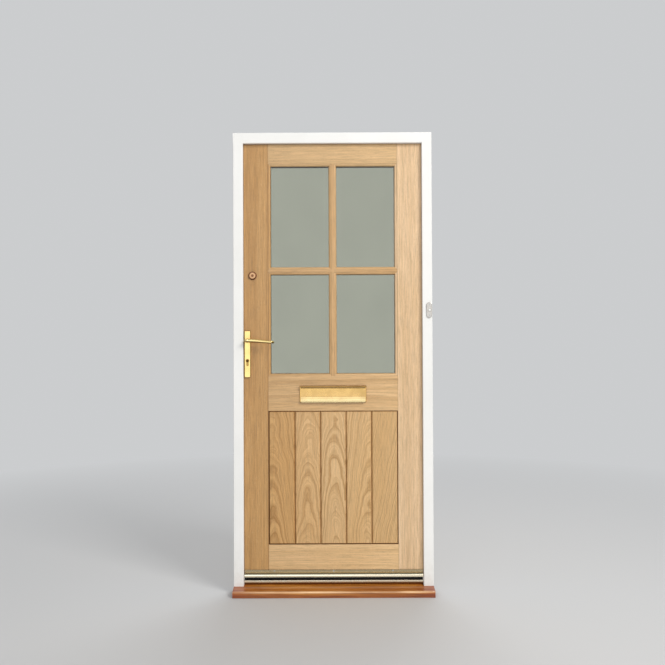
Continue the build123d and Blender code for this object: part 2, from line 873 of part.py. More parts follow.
def makeRain():
    low = leaf_bottom + deflector_lift
    high = low + deflector_height
    front = leaf_front
    t = deflector_metal
    wall = front - t
    nose_top, lip_top = low + deflector_nose, low + deflector_lip
    tip = front - deflector_reach
    bulge = (tip + (wall - tip) * 0.3, lip_top + (nose_top - lip_top) * 0.75)
    inner_bulge = (bulge[0] + t * 0.6, bulge[1] - t * 0.8)
    edges = [
        Line((front, low), (front, high)), Line((front, high), (wall, high)),
        Line((wall, high), (wall, nose_top)), ThreePointArc((wall, nose_top), bulge, (tip, lip_top)),
        Line((tip, lip_top), (tip, low)),
        Line((tip, low), (tip + t, low)), Line((tip + t, low), (tip + t, lip_top)),
        ThreePointArc((tip + t, lip_top), inner_bulge, (wall, nose_top - t)),
        Line((wall, nose_top - t), (wall, low)), Line((wall, low), (front, low)),
    ]
    half = stop_half - deflector_end_gap
    return alongX(outline(*edges), -half, half)


def paneCentres():
    # middle and half size of the daylight of each pane, left to right, bottom to top
    half_w = (daylight_half - bar_half) / 2
    rows = ((daylight_bottom, bar_level - bar_half), (bar_level + bar_half, daylight_top))
    for low, high in rows:
        for x in (-bar_half - half_w, bar_half + half_w):
            yield x, (low + high) / 2, half_w, (high - low) / 2


def moulding(centre, half):
    # section across a pane: daylight in the middle, quarter round on both sides, open at the front
    front = leaf_front
    flat = front + sticking_quirk
    r = sticking_radius
    c = r * (1 - 0.5 ** 0.5)
    ways = []
    for side in (-1, 1):
        points = [(half + sticking, front - 1), (half + sticking, flat), (half + r, flat)]
        points += [(half + c, flat + c), (half, glass_front)]
        ways.append([(centre + side * u, y) for u, y in points])
    left, right = ways
    return outline(
        Line(left[0], left[1]), Line(left[1], left[2]), ThreePointArc(left[2], left[3], left[4]),
        Line(left[4], right[4]), ThreePointArc(right[4], right[3], right[2]),
        Line(right[2], right[1]), Line(right[1], right[0]), Line(right[0], left[0]),
    )


def paneCutter(x, z, half_w, half_h):
    reach = sticking + 1
    across = alongZ(moulding(x, half_w), z - half_h - reach, z + half_h + reach)
    upright = swapped(moulding(z, half_h))
    cutter = across & alongX(upright, x - half_w - reach, x + half_w + reach)
    w, h = half_w + sticking, half_h + sticking
    return cutter + box(x - w, x + w, glass_front, leaf_back + 1, z - h, z + h)


def swapped(face):
    # the same section with its two directions exchanged
    return mirror(face, Plane(origin=(0, 0, 0), z_dir=(1, -1, 0)))


def makeMembers():
    # plain members first, with mitred sticking; glazing rebates and mouldings are cut from all of them
    front, back = leaf_front, leaf_back
    p, d = panel_half, daylight_half
    low, high = daylight_bottom - sticking, daylight_top + sticking
    members = {}
    for name, s in (("lock_stile", -1), ("hinge_stile", 1)):
        points = [(leaf_half, leaf_bottom), (leaf_half, leaf_top), (p, leaf_top), (p, high)]
        points += [(d, daylight_top), (d, daylight_bottom), (p, low), (p, leaf_bottom)]
        members[name] = alongY(polygon(*[(s * x, z) for x, z in points]), front, back)
    for name, flat, joint, sight in (
        ("top_rail", leaf_top, high, daylight_top), ("mid_rail", panel_top, low, daylight_bottom),
    ):
        points = [(-p, flat), (p, flat), (p, joint), (d, sight), (-d, sight), (-p, joint)]
        members[name] = alongY(polygon(*points), front, back)
    members["bottom_rail"] = box(-p, p, front, back, leaf_bottom, panel_bottom)
    web = bar_half - sticking
    b0, b1 = daylight_bottom, daylight_top
    points = [(-bar_half, b0), (-web, low), (web, low), (bar_half, b0)]
    points += [(bar_half, b1), (web, high), (-web, high), (-bar_half, b1)]
    members["upright_bar"] = alongY(polygon(*points), front, back)
    crosses = []
    for s in (-1, 1):
        points = [(bar_half, bar_half), (web, web), (web, -web), (bar_half, -bar_half)]
        points += [(d, -bar_half), (p, -web), (p, web), (d, bar_half)]
        crosses.append(alongY(polygon(*[(s * x, bar_level + z) for x, z in points]), front, back))
    rails = {"top_rail": (high, leaf_top), "mid_rail": (panel_top, low)}
    rails["bottom_rail"] = (leaf_bottom, panel_bottom)
    t = tenon_thickness / 2
    for name, (z0, z1) in rails.items():
        reach = p + tenon_length
        low, high = z0 + tenon_shoulder, z1 - tenon_shoulder
        tenons = box(-reach, reach, leaf_middle - t, leaf_middle + t, low, high)
        for stile in ("lock_stile", "hinge_stile"):
            members[stile] -= tenons
        members[name] += tenons
    for name in ("top_rail", "mid_rail"):
        members[name] -= members["upright_bar"]
    for name in ("upright_bar", "lock_stile", "hinge_stile"):
        members[name] -= crosses
    for cutter in (paneCutter(*pane) for pane in paneCentres()):
        crosses = [c - cutter for c in crosses]
        for name in ("lock_stile", "hinge_stile", "top_rail", "mid_rail", "upright_bar"):
            members[name] -= cutter
    cutPanelGroove(members)
    return members, crosses


def cutPanelGroove(members):
    # groove for the tongues of the boards, round the panel opening
    reach = tongue_length + groove_clearance
    half = tongue_thickness / 2 + groove_clearance
    y = leaf_front + board_thickness / 2
    side = panel_half + reach
    groove = box(-side, side, y - half, y + half, panel_bottom - reach, panel_top + reach)
    for name in ("lock_stile", "hinge_stile", "mid_rail", "bottom_rail"):
        members[name] -= groove


def bevelled(low, high):
    # section of a board with its front and back edges bevelled
    b = board_bevel
    y0, y1 = leaf_front, leaf_front + board_thickness
    points = [(low + b, y0), (low, y0 + b), (low, y1 - b), (low + b, y1)]
    points += [(high - b, y1), (high, y1 - b), (high, y0 + b), (high - b, y0)]
    return polygon(*points)


def makeBoards():
    joints = [(i + 1 - board_count / 2) * board_cover for i in range(board_count - 1)]
    edges = [-panel_half, *joints, panel_half]
    y = leaf_front + board_thickness / 2
    t = tongue_thickness / 2
    g = t + groove_clearance
    boards = []
    low, high = panel_bottom - tongue_length, panel_top + tongue_length
    for i in range(board_count):
        left, right = edges[i], edges[i + 1]
        board = alongZ(bevelled(left, right), panel_bottom, panel_top)
        board &= alongX(swapped(bevelled(panel_bottom, panel_top)), left, right)
        board += box(left, right, y - t, y + t, low, high)
        board += box(right, right + tongue_length, y - t, y + t, panel_bottom, panel_top)
        if i:
            board -= box(left, left + tongue_length + groove_clearance, y - g, y + g, low, high)
        else:
            board += box(left - tongue_length, left, y - t, y + t, panel_bottom, panel_top)
        boards.append(board)
    return boards


def makePanes(x, z, half_w, half_h):
    w = half_w + sticking - unit_clearance
    h = half_h + sticking - unit_clearance
    outer = box(x - w, x + w, glass_front, glass_front + pane_thickness, z - h, z + h)
    inner = box(x - w, x + w, glass_back - pane_thickness, glass_back, z - h, z + h)
    y0, y1 = glass_front + pane_thickness, glass_back - pane_thickness
    spacer = box(x - w, x + w, y0, y1, z - h, z + h)
    w, h = w - spacer_width, h - spacer_width
    return outer, inner, spacer - box(x - w, x + w, y0, y1, z - h, z + h)


def beadSection(centre, half):
    # opening through the beads: straight at the glass, bevelled towards the room
    y0, y1 = glass_back, leaf_back
    b = bead_bevel
    q = y0 + bead_quirk
    points = [(half, y0), (half, q), (half + b, y1), (-half - b, y1), (-half, q), (-half, y0)]
    return polygon(*[(centre + u, y) for u, y in points])


def makeBeads(x, z, half_w, half_h):
    w, h = half_w + sticking, half_h + sticking
    ring = box(x - w, x + w, glass_back, leaf_back, z - h, z + h)
    opening = alongZ(beadSection(x, half_w), z - h, z + h)
    opening &= alongX(swapped(beadSection(z, half_h)), x - w, x + w)
    ring -= opening
    k = sticking + 1
    sides = []
    for s in (-1, 1):
        near, far = x + s * (w - k), x + s * w
        sides.append([(far, z - h), (far, z + h), (near, z + h - k), (near, z - h + k)])
        near, far = z + s * (h - k), z + s * h
        sides.append([(x - w, far), (x + w, far), (x + w - k, near), (x - w + k, near)])
    return [ring & alongY(polygon(*points), glass_back, leaf_back) for points in sides]


# Bell push

def makeBellPlate():
    plate = Plane.XZ * RectangleRounded(bell_width, bell_height, bell_width / 2 - bell_end_flat)
    plate = Pos(bell_x, 0, bell_z) * extrude(plate, bell_thickness)
    plate = fillet(plate.faces().sort_by(Axis.Y)[0].edges(), bell_round)
    face = -bell_thickness - bell_collar_proud
    collar = rodY(bell_x, bell_z, bell_button_radius + bell_collar_width, face, 0)
    plate += fillet(collar.edges().filter_by(GeomType.CIRCLE).sort_by(Axis.Y)[0], bell_collar_round)
    return plate - rodY(bell_x, bell_z, bell_button_radius + bell_button_gap, face, 0)


def makeBellButton():
    front = -bell_thickness - bell_button_proud
    button = rodY(bell_x, bell_z, bell_button_radius, front, front + bell_button_depth)
    return fillet(button.edges().filter_by(GeomType.CIRCLE).sort_by(Axis.Y)[0], bell_button_round)


def bellScrews():
    half = bell_screw_pitch / 2
    return [screw(bell_x, -bell_thickness, bell_z + dz, (0, 1, 0)) for dz in (-half, half)]


def deflectorScrews():
    y = leaf_front - deflector_metal
    z = leaf_bottom + deflector_lift + deflector_height - deflector_screw_drop
    end = (stop_half - deflector_end_gap) * deflector_screw_share
    return [screw(x, y, z, (0, 1, 0)) for x in (-end, 0, end)]


def stripScrews():
    # in the leaf's edge and in the jamb, between the bolts
    end = strip_end + strip_screw_inset
    near = strip_screw_spacing
    levels = (leaf_bottom + end, cylinder_z - near, spindle_z + near, leaf_top - end)
    leaf = [screw(-leaf_half, leaf_middle, z, (1, 0, 0)) for z in levels]
    jamb = [screw(-rebate_half, leaf_middle, z, (-1, 0, 0)) for z in levels]
    return leaf, jamb


def build():
    pieces = {}
    strip_leaf_screws, strip_jamb_screws = stripScrews()
    frame_screws = thresholdScrews() + bellScrews() + strip_jamb_screws
    door_screws = deflectorScrews() + strip_leaf_screws
    for level in hinge_levels:
        frame_screws += hingeScrews(leaf_bottom + level, 1)
        door_screws += hingeScrews(leaf_bottom + level, -1)

    # frame
    sill = makeSill()
    head = alongX(headOutline(), -frame_half, frame_half)
    lock_jamb = alongZ(jambOutline(-1), 0, rebate_top) - sill - head - fixings(-1)
    hinge_jamb = alongZ(jambOutline(1), 0, rebate_top) - sill - head - fixings(1)
    half = strip_width / 2
    sides = (leaf_middle - half, leaf_middle + half)
    low, high = leaf_bottom + strip_end, leaf_top - strip_end
    lock_jamb -= box(-rebate_half - strip_metal, -rebate_half, *sides, low, high)
    lock_jamb -= strikePockets()
    room = bell_button_radius + bell_button_room
    hinge_jamb -= rodY(bell_x, bell_z, room, 0, bell_travel + bell_button_depth)
    frame_leaves = [hingeLeaf(leaf_bottom + z, 1) for z in hinge_levels]
    door_leaves = [hingeLeaf(leaf_bottom + z, -1) for z in hinge_levels]
    hinge_jamb -= frame_leaves
    threshold = alongX(thresholdSection(), -stop_half + bar_end_gap, stop_half - bar_end_gap)
    bell_plate = makeBellPlate()
    keep_strip = makeKeepStrip()
    for tool in frame_screws:
        keep_strip -= tool
        threshold -= tool
        sill -= tool
        bell_plate -= tool
        hinge_jamb -= tool
        lock_jamb -= tool
        frame_leaves = [leaf - tool for leaf in frame_leaves]
    pieces["sill"] = sill
    pieces["frame_head"] = laminated(head)
    pieces["lock_jamb"] = laminated(lock_jamb)
    pieces["hinge_jamb"] = laminated(hinge_jamb)
    pieces["frame_seals"] = together(makeSeals())
    pieces["threshold_bar"] = threshold
    pieces["threshold_gasket"] = makeGasket()
    pieces["frame_screws"] = together(frame_screws)
    pieces["hinge_frame_leaves"] = together(frame_leaves)
    pieces["hinge_pins"] = together([hingePin(leaf_bottom + z) for z in hinge_levels])
    pieces["keep_strip"] = keep_strip
    pieces["nightlatch_keep"] = makeNightKeep()
    pieces["bell_push_plate"] = bell_plate
    pieces["bell_push_button"] = makeBellButton()

    # leaf
    members, crosses = makeMembers()
    lock_strip = makeLockStrip()
    stile = members["lock_stile"]
    stile -= box(-leaf_half, strip_back, *sides, low, high)
    stile -= caseBlocks(case_clearance)
    stile -= rodY(lock_x, spindle_z, neck_radius + neck_clearance, leaf_front, leaf_back)
    stile -= cylinderProfile(leaf_front, leaf_back, barrel_stile_clearance)
    stile -= rodY(rim_x, rim_z, rim_face_radius + rim_hole_clearance, leaf_front, leaf_back)
    members["lock_stile"] = stile
    w, h = letter_slot_width / 2 + sleeve_wall, letter_slot_height / 2 + sleeve_wall
    members["mid_rail"] -= letterHole(w, h)
    members["hinge_stile"] -= door_leaves
    deflector = makeRain()
    for tool in door_screws:
        deflector -= tool
        lock_strip -= tool
        for name in ("lock_stile", "hinge_stile", "bottom_rail"):
            members[name] -= tool
        door_leaves = [leaf - tool for leaf in door_leaves]
    pieces.update(members)
    pieces["cross_bars"] = together(crosses)
    names = ("lower_left_glass", "lower_right_glass", "upper_left_glass", "upper_right_glass")
    spacers, beads = [], []
    for name, pane in zip(names, paneCentres()):
        outer, inner, spacer = makePanes(*pane)
        pieces[name] = together([outer, inner])
        spacers.append(spacer)
        beads += makeBeads(*pane)
    pieces["glass_spacers"] = together(spacers)
    pieces["glazing_beads"] = together(beads)
    for i, board in enumerate(makeBoards()):
        pieces[f"panel_board_{i + 1}"] = board
    pieces["rain_deflector"] = deflector
    pieces["door_screws"] = together(door_screws)
    pieces["hinge_door_leaves"] = together(door_leaves)
    pieces["lock_cases"] = together(makeLockCases())
    pieces["lock_strip"] = lock_strip
    backplate = makeBackplate()
    pieces["outer_backplate"] = backplate
    pieces["inner_backplate"] = reflected(backplate)
    pieces["cylinder_body"] = makeCylinderBody()
    pieces["cylinder_plug"] = makeCylinderPlug()
    pieces["rim_cylinder_ring"] = makeRimRing()
    pieces["rim_cylinder_body"] = makeRimBody()
    pieces["rim_plug"] = makeRimPlug()
    pieces["nightlatch_case"] = makeNightCase()
    pieces["nightlatch_bolt"] = makeNightBolt()
    pieces["nightlatch_knob"] = makeKnob()
    pieces["nightlatch_snib"] = makeSnib()
    letter_frame = makeLetterFrame()
    flap = makeFlap()
    pieces["letter_outer_frame"] = letter_frame
    pieces["letter_inner_frame"] = turned(letter_frame)
    pieces["letter_sleeve"] = makeSleeve()
    pieces["outer_flap"] = flap
    pieces["inner_flap"] = turned(flap)
    lever = makeLever()
    pieces["outer_lever"] = lever
    pieces["inner_lever"] = reflected(lever)
    pieces["spindle"] = makeSpindle()
    pieces["latch_bolt"] = makeLatchBolt()
    pieces["dead_bolt"] = makeDeadBolt()
    pieces["lower_hook"] = makeHook(hook_levels[0])
    pieces["upper_hook"] = makeHook(hook_levels[1])
    return pieces


os.makedirs("parts", exist_ok=True)
for name, piece in build().items():
    export_step(piece, f"parts/{name}.step")
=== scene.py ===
import bpy
import math
from mathutils import Matrix, Vector

# Panelled front door in its frame. Metres: X from the lock side to the hinge side, Y into the house, Z up.

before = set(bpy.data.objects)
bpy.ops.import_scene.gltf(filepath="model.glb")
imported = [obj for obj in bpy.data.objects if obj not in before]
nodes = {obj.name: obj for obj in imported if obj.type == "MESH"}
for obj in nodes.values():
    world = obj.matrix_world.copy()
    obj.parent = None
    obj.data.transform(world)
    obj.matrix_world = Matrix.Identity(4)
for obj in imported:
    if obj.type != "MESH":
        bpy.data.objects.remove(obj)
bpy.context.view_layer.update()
scene = bpy.context.scene
print("frame loaded,", len(nodes), "nodes")


# Steps that the materials are built from: each adds a node to a tree and gives back its output

def feed(tree, socket, value):
    if isinstance(value, bpy.types.NodeSocket):
        tree.links.new(value, socket)
    else:
        socket.default_value = value


def add(tree, kind, sockets=None, **settings):
    made = tree.nodes.new("ShaderNode" + kind)
    for key, value in settings.items():
        setattr(made, key, value)
    for key, value in (sockets or {}).items():
        feed(tree, made.inputs[key], value)
    return made


def newMaterial(name):
    made = bpy.data.materials.new(name)
    made.use_nodes = True
    tree = made.node_tree
    return made, tree, tree.nodes["Principled BSDF"], add(tree, "TexCoord").outputs["Object"]


def shade(colour):
    # a colour written in screen values of 0 to 255, turned linear
    low = [c / 255 for c in colour]
    return tuple(c / 12.92 if c < 0.04045 else ((c + 0.055) / 1.055) ** 2.4 for c in low) + (1.0,)


def scaled(colour, shares):
    return tuple(part * share for part, share in zip(colour, shares))


def calc(tree, kind, *values):
    return add(tree, "Math", dict(enumerate(values)), operation=kind).outputs[0]


def times(tree, first, second):
    return calc(tree, "MULTIPLY", first, second)


def without(tree, value):
    return calc(tree, "SUBTRACT", 1.0, value)


def axis(tree, vector, letter):
    return add(tree, "SeparateXYZ", {"Vector": vector}).outputs[letter]


def blend(tree, mode, share, first, second):
    sockets = {0: share, 6: first, 7: second}  # factor and the two colours of a colour mix
    return add(tree, "Mix", sockets, data_type="RGBA", blend_type=mode).outputs[2]


def cover(tree, colour, share, other):
    return blend(tree, "MIX", share, colour, other)


def tint(tree, colour, share, other):
    return blend(tree, "MULTIPLY", share, colour, other)


def ramp(tree, value, stops):
    # a stop is a place from 0 to 1 with a grey level or a colour
    made = add(tree, "ValToRGB", {"Fac": value})
    marks = made.color_ramp.elements
    while len(marks) < len(stops):
        marks.new(0.5)
    for mark, (place, colour) in zip(marks, stops):
        mark.position = place
        mark.color = (colour, colour, colour, 1.0) if isinstance(colour, float) else (*colour[:3], 1.0)
    return made.outputs["Color"]


def spread(tree, value, span, out=(0.0, 1.0)):
    # follows a value from the first end of its span to the second, and stays level outside it
    sockets = {"Value": value, "From Min": span[0], "From Max": span[1], "To Min": out[0], "To Max": out[1]}
    return add(tree, "MapRange", sockets, clamp=True).outputs["Result"]


def mapped(tree, place, location=(0, 0, 0), turn=(0, 0, 0), scale=(1, 1, 1)):
    sockets = {"Vector": place, "Location": location, "Rotation": turn, "Scale": scale}
    return add(tree, "Mapping", sockets).outputs["Vector"]


def noise(tree, place, size, detail, rough):
    # size is the width of one patch
    sockets = {"Vector": place, "Scale": 1 / size, "Detail": detail, "Roughness": rough}
    return add(tree, "TexNoise", sockets).outputs["Fac"]


def drawnOut(tree, place, share, size, detail, rough):
    # noise drawn out along Z: share is a patch's width against its length
    return noise(tree, mapped(tree, place, scale=(1, 1, share)), size, detail, rough)


wearSamples = {"arris": 4, "hollow": 8}


def arrises(tree, radius, span):
    # 1 along sharp edges, 0 on flats, from how far a rounded normal leans away from the true one
    soft = add(tree, "Bevel", {"Radius": radius}, samples=wearSamples["arris"]).outputs[0]
    flat = add(tree, "NewGeometry").outputs["Normal"]
    lean = add(tree, "VectorMath", {0: soft, 1: flat}, operation="DOT_PRODUCT").outputs["Value"]
    return spread(tree, lean, span)


def hollows(tree, reach, span):
    # 1 deep in grooves and corners, 0 on open faces, which see everything within the reach; it masks
    # painted shade
    opened = add(tree, "AmbientOcclusion", {"Distance": reach}, samples=wearSamples["hollow"])
    return spread(tree, opened.outputs["AO"], span)


def finish(tree, shader, colour, rough, height, depth, relief):
    feed(tree, shader.inputs["Base Color"], colour)
    feed(tree, shader.inputs["Roughness"], rough)
    bump = add(tree, "Bump", {"Height": height, "Distance": depth, "Strength": relief})
    feed(tree, shader.inputs["Normal"], bump.outputs["Normal"])


def coat(shader, weight, rough):
    shader.inputs["Coat Weight"].default_value = weight
    shader.inputs["Coat Roughness"].default_value = rough


# Oiled oak of the leaf. Patterns run along Z, and a level piece turns them.

uprightGrain = (0, 0, 0)
levelGrain = (0, math.radians(90), 0)

wood = {
    "driftSize": 0.11, "drift": 0.016,  # slow waves in the rings, and their reach
    "trembleSize": 0.016, "tremble": 0.0016, "waveDetail": 1.5,
    "fineLines": 3.4, "ringDetail": 2.0, "ringRough": 0.5,  # fine lines in each broad ring
    "deep": (0.80, 0.74, 0.62),  # late wood against the piece's own tone
    "broadShare": 0.72, "lineShare": (0.1, 0.5), "fade": (0.6, 1.2),
    "fibreShare": 0.8, "patchShare": 0.8,
    "pore": (0.5, 0.38, 0.25, 1), "poreShare": 0.5, "fleck": (214, 196, 160),
    "sides": (-0.3, 0.3),  # painted light: the leaf is shaded towards the lock side and lit towards the hinges
    "jointAt": 0.295, "jointEdge": (0.0010, 0.0003), "jointShare": 0.6,  # where rails meet stiles
    # painted shade in grooves and inner corners, in the same dark tone as the joint lines
    "groove": (0.26, 0.13, 0.04, 1), "grooveReach": 0.0065, "grooveShare": 0.92,
    # pale bluish arrises: a painted highlight along the edges, with some wear
    "arris": 0.0012, "arrisSpan": (0.97, 0.55), "arrisTone": (1.10, 1.13, 1.18, 1), "arrisShare": 0.8,
    "rough": (0.36, 0.54), "coat": 0.16, "coatRough": 0.3,
    "fibreHeight": 0.5, "poreHeight": 0.8, "ringHeight": 0.25, "depth": 0.00035, "relief": 0.7,
}
woodNoise = {  # width against length, width, detail and roughness
    "fibres": (0.03, 0.0016, 4.0, 0.65),
    "pores": (0.07, 0.0008, 1.0, 0.4),
    "patches": (0.25, 0.16, 2.0, 0.55),
    "streaks": (0.05, 0.006, 3.0, 0.6),
    "flecks": (0.35, 0.006, 2.0, 0.7),
}
woodSpans = {  # levels of a pattern between which its effect grows
    "fibres": (0.35, 0.65), "patches": (0.3, 0.7), "pores": (0.56, 0.68), "flecks": (0.62, 0.72),
    "rough": (0.3, 0.75),
}
woodTones = {
    "rings": ((0.30, 0.1), (0.42, 0.45), (0.52, 0.8), (0.66, 1.0)),
    "lines": ((0.34, 0.1), (0.5, 0.75), (0.62, 1.0)),
    "fibres": ((0.28, 0.58), (0.5, 1.0), (0.74, 1.26)),
    "streaks": ((0.3, (0.84, 0.80, 0.72)), (0.5, 1.0), (0.7, (1.10, 1.12, 1.16))),
    "patches": ((0.3, (0.92, 0.88, 0.80)), (0.55, 1.0), (0.75, (1.05, 1.06, 1.08))),
    "pores": ((0.34, 1.0), (0.46, 0.75), (0.56, 0.2), (0.8, 0.35)),
    "sides": ((0.0, (0.90, 0.88, 0.86)), (1.0, 1.03)),
}


def wander(tree, place, size, reach):
    # moves a point unevenly, by up to about the reach
    sockets = {"Vector": place, "Scale": 1 / size, "Detail": wood["waveDetail"]}
    away = add(tree, "TexNoise", sockets).outputs["Color"]
    middle = (0.5, 0.5, 0.5)  # of a noise that runs from 0 to 1
    centred = add(tree, "VectorMath", {0: away, 1: middle}, operation="SUBTRACT").outputs[0]
    step = add(tree, "VectorMath", {0: centred, 3: 2 * reach}, operation="SCALE").outputs[0]
    return add(tree, "VectorMath", {0: place, 1: step}, operation="ADD").outputs[0]


def fromPith(tree, turned, pith, lean, squeeze, waver):
    # distance from a pith line that leans through the board: its levels are straight lines or arches
    short = mapped(tree, turned, scale=(1, 1, squeeze))
    moved = wander(tree, short, wood["driftSize"], wood["drift"] * waver)
    moved = wander(tree, moved, wood["trembleSize"], wood["tremble"] * waver)
    centred = mapped(tree, moved, (*pith, 0), (*lean, 0))
    flat = add(tree, "VectorMath", {0: centred, 1: (1, 1, 0)}, operation="MULTIPLY").outputs[0]
    return add(tree, "VectorMath", {0: flat}, operation="LENGTH").outputs["Value"]


def rings(tree, away, ring):
    # uneven rings: a light and a dark band together are about two ring widths
    pair = 2 * ring
    sockets = {"W": away, "Scale": 1 / pair, "Detail": wood["ringDetail"], "Roughness": wood["ringRough"]}
    return add(tree, "TexNoise", sockets, noise_dimensions="1D").outputs["Fac"]


def oak(name, tone, grain, pith, lean, ring, contrast, squeeze=0.07, waver=1.0, flecks=0.0, streak=0.6,
        shut=(0.80, 0.46)):
    # squeeze draws the waves out along the grain, waver scales them, and shut is how open a hollow is
    # where its painted shade begins and where the shade is full
    made, tree, shader, place = newMaterial(name)
    turned = mapped(tree, place, turn=grain)
    away = fromPith(tree, turned, pith, lean, squeeze, waver)
    fine = rings(tree, away, ring / wood["fineLines"])
    fibres = drawnOut(tree, turned, *woodNoise["fibres"])
    pores = drawnOut(tree, turned, *woodNoise["pores"])
    patches = drawnOut(tree, turned, *woodNoise["patches"])
    streaks = drawnOut(tree, turned, *woodNoise["streaks"])
    # late wood: broad rings, and fine lines that the fibres break up
    broad = ramp(tree, rings(tree, away, ring), woodTones["rings"])
    lines = without(tree, ramp(tree, fine, woodTones["lines"]))
    figure = times(tree, without(tree, broad), wood["broadShare"])
    broken = times(tree, lines, spread(tree, fibres, woodSpans["fibres"], wood["lineShare"]))
    fade = spread(tree, patches, woodSpans["patches"], [contrast * share for share in wood["fade"]])
    late = times(tree, fade, calc(tree, "ADD", figure, broken))
    colour = cover(tree, shade(tone), late, shade(scaled(tone, wood["deep"])))
    colour = tint(tree, colour, wood["fibreShare"], ramp(tree, fibres, woodTones["fibres"]))
    colour = tint(tree, colour, streak, ramp(tree, streaks, woodTones["streaks"]))
    colour = tint(tree, colour, wood["patchShare"], ramp(tree, patches, woodTones["patches"]))
    # open pores crowd in the early wood
    opened = times(tree, spread(tree, pores, woodSpans["pores"]), ramp(tree, fine, woodTones["pores"]))
    colour = tint(tree, colour, times(tree, opened, wood["poreShare"]), wood["pore"])
    if flecks:
        rays = drawnOut(tree, turned, *woodNoise["flecks"])
        share = spread(tree, rays, woodSpans["flecks"], (0, flecks))
        colour = blend(tree, "SCREEN", share, colour, shade(wood["fleck"]))
    across = axis(tree, place, "X")
    # painted light: shaded towards the lock side, lit towards the hinge side
    side = spread(tree, across, wood["sides"])
    colour = tint(tree, colour, 1.0, ramp(tree, side, woodTones["sides"]))
    # dark joint lines, painted shade in grooves and inner corners, and pale arrises that are a painted
    # highlight with some wear
    gap = calc(tree, "SUBTRACT", calc(tree, "ABSOLUTE", across), wood["jointAt"])
    joint = spread(tree, calc(tree, "ABSOLUTE", gap), wood["jointEdge"], (0, wood["jointShare"]))
    colour = tint(tree, colour, joint, wood["groove"])
    grooveShade = times(tree, hollows(tree, wood["grooveReach"], shut), wood["grooveShare"])
    colour = tint(tree, colour, grooveShade, wood["groove"])
    # painted highlight along the arrises, with some wear
    edgeWearAndSheen = times(tree, arrises(tree, wood["arris"], wood["arrisSpan"]), wood["arrisShare"])
    colour = tint(tree, colour, edgeWearAndSheen, wood["arrisTone"])
    raised = times(tree, fibres, wood["fibreHeight"])
    height = calc(tree, "SUBTRACT", raised, times(tree, opened, wood["poreHeight"]))
    height = calc(tree, "ADD", height, times(tree, broad, wood["ringHeight"]))
    rough = spread(tree, fibres, woodSpans["rough"], wood["rough"])
    finish(tree, shader, colour, rough, height, wood["depth"], wood["relief"])
    coat(shader, wood["coat"], wood["coatRough"])
    return made


# Tone, place and lean of the pith, ring width and strength of the figure of each oak piece
boardGrain = dict(grain=uprightGrain, ring=0.0025, squeeze=1.0, waver=0.6, streak=0.15, shut=(0.92, 0.52))
oakPieces = {
    # the lock stile's tone, darker than the hinge stile's, is partly painted shade of light coming from the
    # hinge side
    "lock_stile": dict(tone=(210, 166, 107), grain=uprightGrain, pith=(0.36, 0.05), lean=(0.02, 0.05),
                       ring=0.0062, contrast=0.8, waver=1.3, flecks=0.12),
    "hinge_stile": dict(tone=(229, 197, 157), grain=uprightGrain, pith=(-0.34, 0.09), lean=(-0.03, -0.06),
                        ring=0.0100, contrast=0.42, flecks=0.10),
    "top_rail": dict(tone=(216, 181, 132), grain=levelGrain, pith=(-1.93, 0.16), lean=(0.03, 0.05),
                     ring=0.0050, contrast=0.3, streak=0.12),
    "mid_rail": dict(tone=(221, 184, 134), grain=levelGrain, pith=(-0.85, 0.12), lean=(-0.04, 0.08),
                     ring=0.0070, contrast=0.75),
    "bottom_rail": dict(tone=(230, 194, 144), grain=levelGrain, pith=(-0.05, 0.13), lean=(0.05, 0.06),
                        ring=0.0080, contrast=0.45, streak=0.15),
    "upright_bar": dict(tone=(214, 175, 124), grain=uprightGrain, pith=(0.20, 0.04), lean=(0.01, 0.03),
                        ring=0.0080, contrast=0.4),
    "cross_bars": dict(tone=(212, 173, 122), grain=levelGrain, pith=(-1.60, 0.06), lean=(0.01, 0.03),
                       ring=0.0080, contrast=0.4),
    "glazing_beads": dict(tone=(214, 176, 130), grain=uprightGrain, pith=(0.25, 0.07), lean=(0.02, 0.04),
                          ring=0.0080, contrast=0.35),
    "panel_board_1": dict(tone=(219, 175, 115), pith=(0.268, -0.060), lean=(0.088, 0.02), contrast=1.15,
                          **boardGrain),
    "panel_board_2": dict(tone=(228, 189, 136), pith=(0.124, -0.050), lean=(0.100, -0.02), contrast=1.1,
                          **boardGrain),
    "panel_board_3": dict(tone=(228, 191, 140), pith=(-0.018, -0.036), lean=(0.094, 0.02), contrast=1.1,
                          **boardGrain),
    "panel_board_4": dict(tone=(224, 186, 133), pith=(-0.150, -0.046), lean=(0.096, -0.03), contrast=1.0,
                          **boardGrain),
    "panel_board_5": dict(tone=(218, 180, 127), pith=(-0.400, -0.040), lean=(0.060, -0.20), contrast=0.95,
                          **boardGrain),
}
ownMaterials = {name: oak(name + "_oak", **settings) for name, settings in oakPieces.items()}
print("oak made,", len(ownMaterials), "pieces")


# White paint of the frame, brushed along its members

paint = {
    "tone": (246, 246, 244), "dim": (238, 238, 235), "patches": (0.35, 3.0, 0.55), "patchSpan": (0.3, 0.75),
    "brushed": (0.03, 0.0022, 3.0, 0.6), "grains": (0.08, 0.004, 2.0, 0.55),
    "footSpan": (0.24, 0.03), "dirtTone": (186, 178, 160), "dirtShare": 0.3,  # dirt splashed up at the foot
    "dirt": (0.03, 5.0, 0.7), "dirtSpan": (0.42, 0.8),
    # painted shade in grooves and inner corners
    "reach": 0.004, "hollowShadeSpan": (0.8, 0.35), "hollowShadeTone": (150, 146, 136), "hollowShadeShare": 0.35,
    "arris": 0.0010, "arrisSpan": (0.97, 0.55), "arrisTone": (205, 203, 196), "arrisShare": 0.22,
    "roughSpan": (0.3, 0.7), "rough": (0.30, 0.42),
    "brushHeight": 0.6, "grainHeight": 0.4, "depth": 0.0002, "relief": 0.6,
}


